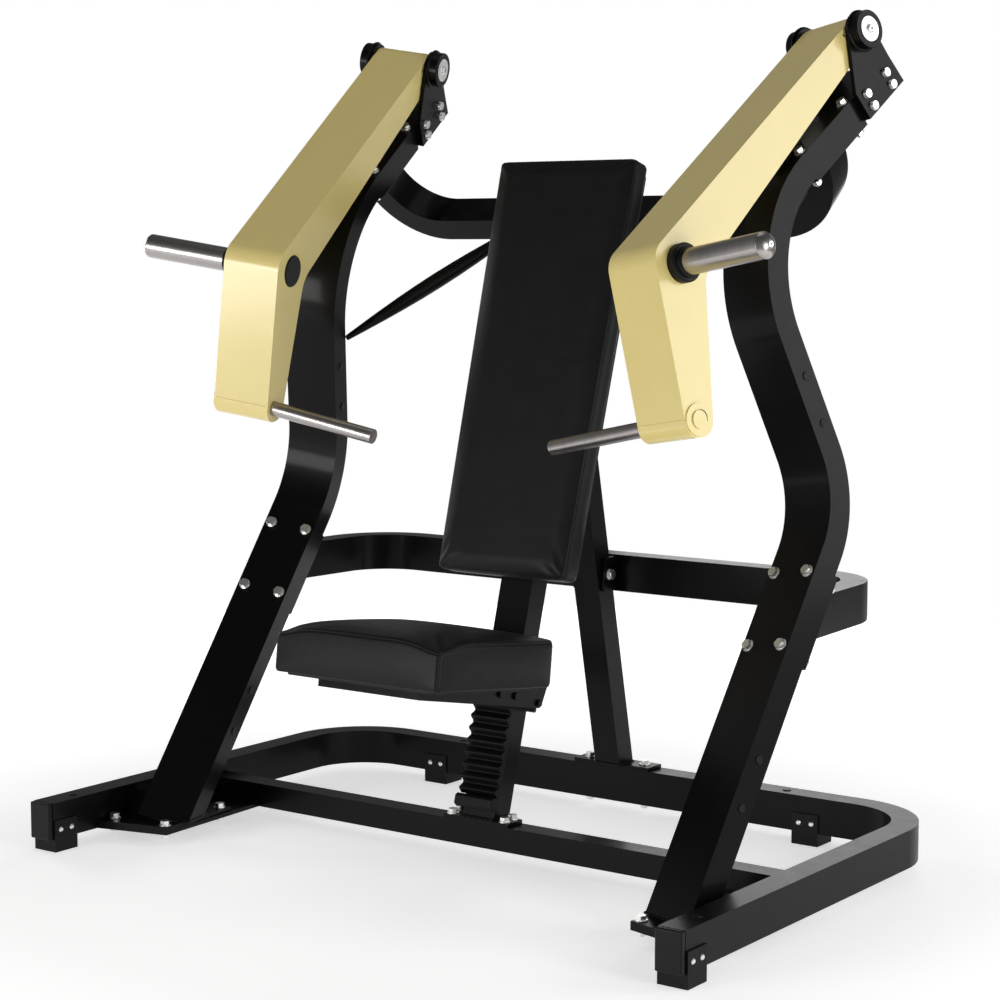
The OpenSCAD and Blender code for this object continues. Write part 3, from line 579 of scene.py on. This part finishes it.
def make_cushion(name, body, half, edge_r, form, seam_z, place, pressure, cap, welt_r, welt):
    """Cover swollen between its seams, with grooves, a welt round the rim and a stitch row.

    form holds the crown, the taper towards +Y, the dip of the front corners and the lip."""

    def rim(z, inset=0):
        corners = [((half[0] - inset) * x, (half[1] - inset) * y, z) for x, y in CORNERS]
        return [mould(p, half, *form) for p in spaced(corners, STITCH_PITCH, closed=True)]

    def corner_seam(x, y):
        ends = [(half[0] * x, half[1] * y, z) for z in (SEAM_FOOT, seam_z)]
        return [mould(p, half, *form) for p in spaced(ends, SEAM_STEP)]

    verts, faces = cushion_form(half, edge_r, *form)
    cover = new_mesh(name, verts, faces, pad_vinyl)
    rim_path = rim(seam_z, edge_r * 0.2)
    corners = [corner_seam(x, y) for x, y in CORNERS]
    skin = skin_tree(cover)
    sewn = [on_surface(skin, path, 0) for path in (rim_path, *corners)]
    co = vertex_array(cover.data)
    inner = (np.abs(co[:, :2]) < np.array(half[:2]) - BOTTOM_EDGE).all(axis=1)
    held = (co[:, 2] < BOTTOM_REACH) & inner
    for path in sewn:
        held |= distance_to(co, path) < PAD_STEP * 0.75
    inflate(cover, held, pressure, cap)
    apply_subdivision(cover)
    smooth(cover)
    for path in sewn:
        pull_in(cover, path, GROOVE_W, GROOVE_DEPTH)
    skin = skin_tree(cover)
    lower_row = rim(seam_z - ROW_DROP)
    pieces = [
        cover,
        tube_mesh(name + "_welt", on_surface(skin, sewn[0], welt_r * 0.2), welt_r, welt, True),
        stitch_row(name + "_stitches", skin, lower_row + lower_row[:1]),
    ]
    for number, path in enumerate(sewn[1:], 1):
        line = on_surface(skin, path, CORNER_WELT_RISE)
        pieces.append(tube_mesh(f"{name}_corner_{number}", line, CORNER_WELT_R, welt))
    for piece in pieces:
        piece.data.transform(place)
        piece.data.update()
        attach(piece, body)
    return cover


def local_box(node, place):
    """Corners of a node's box in a local frame."""
    inverse = place.inverted()
    points = np.array([tuple(inverse @ v.co) for v in nodes[node].data.vertices])
    return Vector(points.min(axis=0)), Vector(points.max(axis=0))


# Gap between a cover and its board
LIFT_OFF = 0.0004

# Back pad, on the spine frame, lying on its board
back_low, back_high = local_box("backrest_pad", SPINE)
BACK_W_LOW, BACK_W_TOP = 0.322, 0.346
back_width = (BACK_W_LOW + BACK_W_TOP) / 2
back_pad = make_cushion(
    "back_pad",
    "frame",
    half=(back_width / 2, (back_high.z - back_low.z) / 2, (back_high.y - back_low.y) / 2 - 0.001),
    edge_r=0.012,
    form=(0.003, (BACK_W_TOP - BACK_W_LOW) / (BACK_W_TOP + BACK_W_LOW), 0, 0),
    seam_z=0.047,
    place=(
        SPINE
        @ Matrix.Translation((0, back_high.y - LIFT_OFF, (back_low.z + back_high.z) / 2))
        @ Matrix.Rotation(math.radians(90), 4, "X")
    ),
    pressure=3.0,
    cap=0.004,
    welt_r=0.0009,
    welt=pad_vinyl,
)
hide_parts("backrest_pad")

# Seat pad, on the seat frame
seat_low, seat_high = local_box("seat_pad", SEAT)
seat_half = (seat_high - seat_low) / 2
seat_pad = make_cushion(
    "seat_cushion",
    "seat",
    half=(seat_half.x + 0.002, seat_half.y + 0.001, seat_half.z),
    edge_r=0.009,
    form=(0.012, 0, 0.017, 0.007),
    seam_z=0.084,
    place=SEAT @ Matrix.Translation((0, (seat_low.y + seat_high.y) / 2, seat_low.z + LIFT_OFF)),
    pressure=4.0,
    cap=0.008,
    welt_r=0.0014,
    welt=piping_vinyl,
)
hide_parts("seat_pad")

# ---- Weld beads and small fittings ----


def outline(points):
    """Convex outline of flat points, anticlockwise."""
    ordered = sorted({(round(x, 5), round(y, 5)) for x, y in points})

    def half_hull(run):
        hull = []
        for p in run:
            while len(hull) > 1:
                (ax, ay), (bx, by) = hull[-2:]
                if (bx - ax) * (p[1] - ay) - (by - ay) * (p[0] - ax) > 0:
                    break
                hull.pop()
            hull.append(p)
        return hull[:-1]

    return half_hull(ordered) + half_hull(ordered[::-1])


def ripple(i):
    return 1 + 0.12 * math.sin(i * 1.9)


BEAD_R, BEAD_STEP = 0.0032, 0.004
# A vertex this near to a plane lies on it
TOUCH = 6e-5


def weld_round(name, node, axis, level):
    """Weld bead round the section where a node meets the plane axis = level."""
    u, v = [i for i in range(3) if i != axis]
    touching = [p.co for p in nodes[node].data.vertices if abs(p.co[axis] - level) < TOUCH]
    ring = outline([(p[u], p[v]) for p in touching])
    if len(ring) < 3:
        raise ValueError(f"{name}: {node} doesn't meet that plane")
    corners = []
    for at_u, at_v in ring:
        corner = Vector((0, 0, 0))
        corner[axis], corner[u], corner[v] = level, at_u, at_v
        corners.append(corner)
    route = spaced(corners, BEAD_STEP, closed=True)
    bead = tube_mesh(name, route, BEAD_R, frame_black, closed=True, sides=8, wobble=ripple)
    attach(bead, "frame")


FOOT_PLATE_TOP, POST_PLATE_TOP, STRUT_PLATE_TOP = 0.044, 0.086, 0.112
weld_round("weld_upright_left", "upright_left", 2, FOOT_PLATE_TOP)
weld_round("weld_upright_right", "upright_right", 2, FOOT_PLATE_TOP)
weld_round("weld_post", "spine_post", 2, POST_PLATE_TOP)
weld_round("weld_strut", "rear_strut", 2, STRUT_PLATE_TOP)
beam_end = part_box("front_crossbeam")[1].x
weld_round("weld_beam_left", "front_crossbeam", 0, beam_end)
weld_round("weld_beam_right", "front_crossbeam", 0, -beam_end)


def hub(s, label):
    """Frame at the middle of one side's pivot."""
    low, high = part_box("pivot_shaft_" + label)
    middle = side_frame(s).inverted() @ ((low + high) / 2)
    return side_frame(s) @ Matrix.Translation((0, middle.y, middle.z))


def facing_out(place, x, out):
    """Frame on a local X station whose Z looks along +X or -X."""
    return place @ Matrix.Translation((x, 0, 0)) @ Matrix.Rotation(math.radians(90 * out), 4, "Y")


def socket_screw(name, place, r, h, body):
    """Button head with a hexagon socket, drawn along the local Z of place."""
    socket = r * 0.45

    def hexagon(angle):
        return socket * math.cos(math.pi / 6) / math.cos((angle % (math.pi / 3)) - math.pi / 6)

    head = [(r, 0), (r, h * 0.5), (r * 0.93, h * 0.82), (r * 0.8, h), (hexagon, h), (hexagon, h * 0.25)]
    screw = lathe(name, head, place, zinc, segments=36, is_smooth=False)
    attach(screw, body)


def housing_fillet(name, place):
    """Thin fillet where a bearing housing stands on its cheek plate."""
    profile = [(0.0004, -0.001), (0.0045, -0.001), (0.004, 0.0018), (0.0022, 0.0034), (0.0004, 0.0042)]
    fillet = lathe(name, [(HOUSING_R + out, height) for out, height in profile], place, frame_black)
    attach(fillet, "frame")


CHEEK_FACE, CAP_FACE, HOUSING_R = 0.074, 0.098, 0.038
CAP_SCREW_R, CAP_SCREW_H = 0.0085, 0.004
HORN_LEN, HORN_DOME, SCREW_INSET = 0.276, 0.014, 0.0012
HORN_SCREW_R, HORN_SCREW_H = 0.0062, 0.0024
for s, label in SIDES:
    pivot = hub(s, label)
    arm = "arm_" + label
    for out, which in ((1, "outer"), (-1, "inner")):
        cap_face = facing_out(pivot, out * CAP_FACE, out)
        socket_screw(f"pivot_screw_{label}_{which}", cap_face, CAP_SCREW_R, CAP_SCREW_H, arm)
        housing_fillet(f"housing_fillet_{label}_{which}", facing_out(pivot, out * CHEEK_FACE, out))
    hub_low, hub_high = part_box("hub_cap_" + label)
    horn = side_frame(s).inverted() @ ((hub_low + hub_high) / 2)
    tip_x = HORN_LEN + HORN_DOME - SCREW_INSET
    horn_tip = facing_out(side_frame(s) @ Matrix.Translation((tip_x, horn.y, horn.z)), 0, 1)
    socket_screw(f"horn_screw_{label}", horn_tip, HORN_SCREW_R, HORN_SCREW_H, arm)


SEAM_R = 0.0009


def arm_seam(name, label, starts, aim):
    """Fine raised line where rays from a row of starts meet one arm's shell."""
    skin = skin_tree(nodes["arm_shell_" + label])
    hits = []
    for start in starts:
        spot, normal, _, _ = skin.ray_cast(start, aim)
        if spot:
            hits.append(spot + normal * SEAM_R * 0.1)
    seam = tube_mesh(name, hits, SEAM_R, arm_cream, sides=8)
    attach(seam, "arm_" + label)


# Fine seams across the arms: one above the handles, one near the pivots
ARM_HALF_W, EDGE_INSET, COLUMNS = 0.0635, 0.0035, 31
ARM_RISE = math.radians(37.4)
LOW_SEAM_UP, TOP_SEAM_ON, RAY_HEIGHT = 0.034, 0.014, 0.3
seam_w = 2 * (ARM_HALF_W - EDGE_INSET)
columns = [-seam_w / 2 + i * seam_w / (COLUMNS - 1) for i in range(COLUMNS)]
along_arm = Vector((0, math.cos(ARM_RISE), math.sin(ARM_RISE)))
off_arm = Vector((0, -math.sin(ARM_RISE), math.cos(ARM_RISE)))
for s, label in SIDES:
    place = side_frame(s)
    turn = place.to_3x3()
    low_z = local_box("arm_shell_" + label, place)[0].z + LOW_SEAM_UP
    starts = [place @ Vector((x, 0, low_z)) for x in columns]
    arm_seam("end_seam_low_" + label, label, starts, turn @ Vector((0, 1, 0)))
    centre = place.inverted() @ hub(s, label).to_translation()
    above = centre + along_arm * TOP_SEAM_ON + off_arm * RAY_HEIGHT
    starts = [place @ (above + Vector((x, 0, 0))) for x in columns]
    arm_seam("end_seam_top_" + label, label, starts, -(turn @ off_arm))

# ---- Camera, lights and floor ----

AZIMUTH, ELEVATION = math.radians(36.08), math.radians(6.16)
camera_data = bpy.data.cameras.new("camera")
camera_data.sensor_width, camera_data.lens = 36, 83.84
camera = bpy.data.objects.new("camera", camera_data)
scene.collection.objects.link(camera)
flat_reach = math.cos(ELEVATION)
view_from = Vector((math.sin(AZIMUTH) * flat_reach, -math.cos(AZIMUTH) * flat_reach, math.sin(ELEVATION)))
camera.location = (2.796, FRONT_Y - 3.266, 1.248)
camera.rotation_mode = "QUATERNION"
camera.rotation_quaternion = (-view_from).to_track_quat("-Z", "Y")
camera_data.clip_end = 60
scene.camera = camera


def soft_light(name, place, aim, size, power, colour=(1, 1, 1)):
    data = bpy.data.lights.new(name, "AREA")
    data.shape, data.size, data.size_y = "RECTANGLE", size[0], size[1]
    data.energy, data.color = power, colour
    lamp = bpy.data.objects.new(name, data)
    lamp.location = place
    lamp.rotation_mode = "QUATERNION"
    lamp.rotation_quaternion = (Vector(aim) - Vector(place)).to_track_quat("-Z", "Y")
    scene.collection.objects.link(lamp)


MIDDLE = (0, 0, 0.85)
soft_light("front", (-1.6, -4.6, 0.8), MIDDLE, (2.0, 1.4), 90, (1, 0.99, 0.97))
soft_light("side_right", (4.8, -0.9, 1.3), MIDDLE, (1.6, 2.2), 80)
soft_light("rear_right", (4.7, 2.7, 2.2), MIDDLE, (2.6, 2.6), 75)
soft_light("side_left", (-4.8, 0.6, 1.6), MIDDLE, (1.4, 2.4), 45)
soft_light("overhead", (0.0, 0.4, 4.6), MIDDLE, (2.6, 2.6), 18)
soft_light("behind", (-1.6, 4.8, 1.8), MIDDLE, (2.2, 2.4), 35)

# The camera sees a white backdrop, and everything else is lit by a dim one that darkens upwards
world = bpy.data.worlds.new("studio")
scene.world = world
world.use_nodes = True
world_nodes, world_links = world.node_tree.nodes, world.node_tree.links
seen, dim = world_nodes["Background"], world_nodes.new("ShaderNodeBackground")
seen.inputs["Color"].default_value = (1, 1, 1, 1)
dim.inputs["Strength"].default_value = 1.0
sky, ramp = world_nodes.new("ShaderNodeSeparateXYZ"), world_nodes.new("ShaderNodeMapRange")
coords = world_nodes.new("ShaderNodeTexCoord")
world_links.new(coords.outputs["Generated"], sky.inputs["Vector"])
world_links.new(sky.outputs["Z"], ramp.inputs["Value"])
ramp.inputs["To Min"].default_value, ramp.inputs["To Max"].default_value = 0.26, 0.06
world_links.new(ramp.outputs["Result"], dim.inputs["Color"])
paths, choose = world_nodes.new("ShaderNodeLightPath"), world_nodes.new("ShaderNodeMixShader")
world_links.new(paths.outputs["Is Camera Ray"], choose.inputs["Fac"])
world_links.new(dim.outputs["Background"], choose.inputs[1])
world_links.new(seen.outputs["Background"], choose.inputs[2])
world_links.new(choose.outputs["Shader"], world_nodes["World Output"].inputs["Surface"])

FLOOR_SIDES = 96
turns = [math.tau * k / FLOOR_SIDES for k in range(FLOOR_SIDES)]
floor_rim = [(FLOOR_R * math.cos(a), FLOOR_R * math.sin(a), 0) for a in turns]
floor = new_mesh("floor", floor_rim, [tuple(range(FLOOR_SIDES))], studio_floor("floor_white"), False)
scene.view_settings.view_transform = "Standard"
